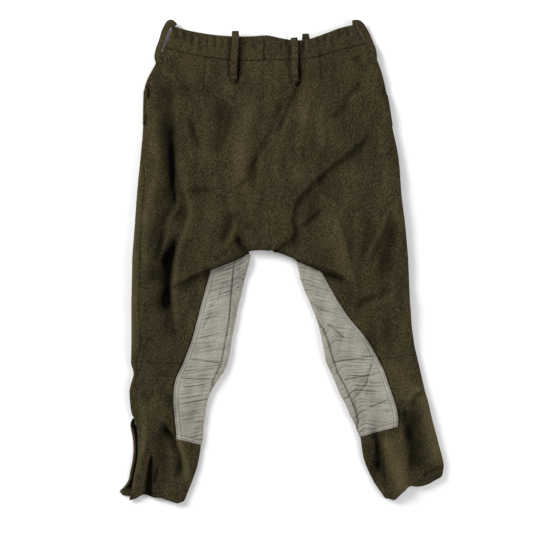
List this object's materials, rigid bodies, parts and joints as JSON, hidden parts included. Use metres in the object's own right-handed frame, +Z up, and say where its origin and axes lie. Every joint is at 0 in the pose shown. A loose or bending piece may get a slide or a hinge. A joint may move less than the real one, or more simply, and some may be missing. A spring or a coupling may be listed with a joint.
{
  "type": "riding breeches",
  "caption": "Olive wool riding breeches with a full seat, flared thighs and pale inner-leg strapping, laid flat with the back up.",
  "frame": {"origin": "middle of the outline on the surface that the breeches lie on", "axes": "+Z up out of the back of the garment, +Y from the hems to the waistband, +X to the wearer's right"},
  "size_m": [0.6326, 0.944, 0.0316],
  "materials": {
    "wool": "napped olive drab wool",
    "strapping": "ribbed pale grey cotton"
  },
  "bodies": {
    "root": {"waistband_back_left": "wool", "waistband_front_left": "wool", "back_left": "wool", "front_left": "wool", "calf_back_left": "wool", "strapping_back_left": "strapping", "strapping_front_left": "strapping", "pocket_welt_left": "wool", "placket_left": "wool", "belt_loop_side_left": "wool", "belt_loop_back_left": "wool", "belt_loop_front_left": "wool", "waistband_back_right": "wool", "waistband_front_right": "wool", "back_right": "wool", "front_right": "wool", "calf_back_right": "wool", "strapping_back_right": "strapping", "strapping_front_right": "strapping", "pocket_welt_right": "wool", "placket_right": "wool", "belt_loop_side_right": "wool", "belt_loop_back_right": "wool", "belt_loop_front_right": "wool", "fly_underlap": "wool"}
  },
  "joints": []
}
